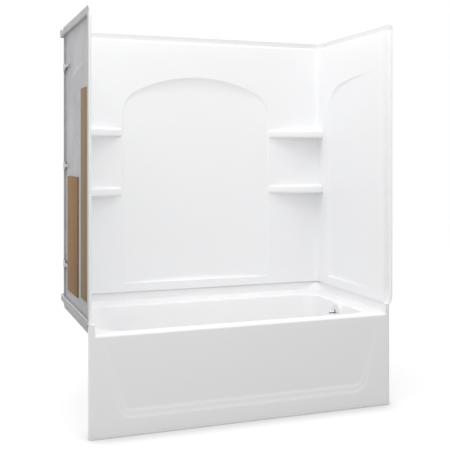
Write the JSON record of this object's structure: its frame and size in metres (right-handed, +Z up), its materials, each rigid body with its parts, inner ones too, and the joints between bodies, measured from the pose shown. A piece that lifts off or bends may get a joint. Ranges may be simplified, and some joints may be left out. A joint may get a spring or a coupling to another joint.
{
  "type": "alcove bath and shower unit",
  "caption": "White alcove bathtub with an apron front, a moulded wall surround with arched panels and corner shelves, and a trip-lever waste and overflow.",
  "frame": {"origin": "centre of the unit's footprint on the floor, midway between the side flanges and between the front edge of the end walls and the back flange", "axes": "+X to the right end with the drain, +Y to the back wall, +Z up"},
  "size_m": [1.524, 0.813, 1.905],
  "materials": {
    "tub_gelcoat": "white glossy moulded tub",
    "wall_gelcoat": "white satin-gloss moulded wall",
    "backer_wood": "raw brown fibreboard and plywood",
    "clip_plastic": "grey moulded clip",
    "foot_rubber": "dark moulded foot",
    "chrome_trim": "polished chrome",
    "seal_rubber": "black soft seal",
    "waste_plastic": "white waste pipe",
    "steel_small": "bright steel",
    "brass_inner": "plain turned brass"
  },
  "bodies": {
    "unit": {"bathtub": "tub_gelcoat", "back_wall": "wall_gelcoat", "left_end_wall": "wall_gelcoat", "right_end_wall": "wall_gelcoat", "left_tall_backer": "backer_wood", "left_short_backer": "backer_wood", "right_tall_backer": "backer_wood", "right_short_backer": "backer_wood", "left_joint_clips": "clip_plastic", "right_joint_clips": "clip_plastic", "floor_support_board": "backer_wood", "support_feet": "foot_rubber", "overflow_plate": "chrome_trim", "overflow_screws": "chrome_trim", "overflow_gasket": "seal_rubber", "overflow_elbow": "waste_plastic", "lever_pin": "steel_small", "lever_spring": "steel_small", "overflow_tube": "waste_plastic", "waste_tee": "waste_plastic", "slip_nuts": "waste_plastic", "slip_washers": "seal_rubber", "shoe_tube": "waste_plastic", "drain_shoe": "waste_plastic", "drain_gasket": "seal_rubber", "drain_body": "chrome_trim", "strainer_grid": "chrome_trim", "strainer_screw": "chrome_trim", "tailpiece": "waste_plastic"},
    "lever": {"trip_lever": "chrome_trim"},
    "lift": {"lift_rod": "brass_inner", "rod_lock_nut": "brass_inner", "plunger": "brass_inner"}
  },
  "joints": [
    {"name": "plunger_slide", "type": "slide", "parent": "unit", "child": "lift", "axis": [0, 0, 1], "range_m": [-0.0167, 0.0167]},
    {"name": "lever_tilt", "type": "hinge", "parent": "unit", "child": "lever", "pos_m": [0.657, -0.025, 0.405], "axis": [0, 1, 0], "range_deg": [-24, 24]}
  ],
  "couplings": [
    {"joint": "lever_tilt", "follows": "plunger_slide", "rad_per_m": -25}
  ]
}
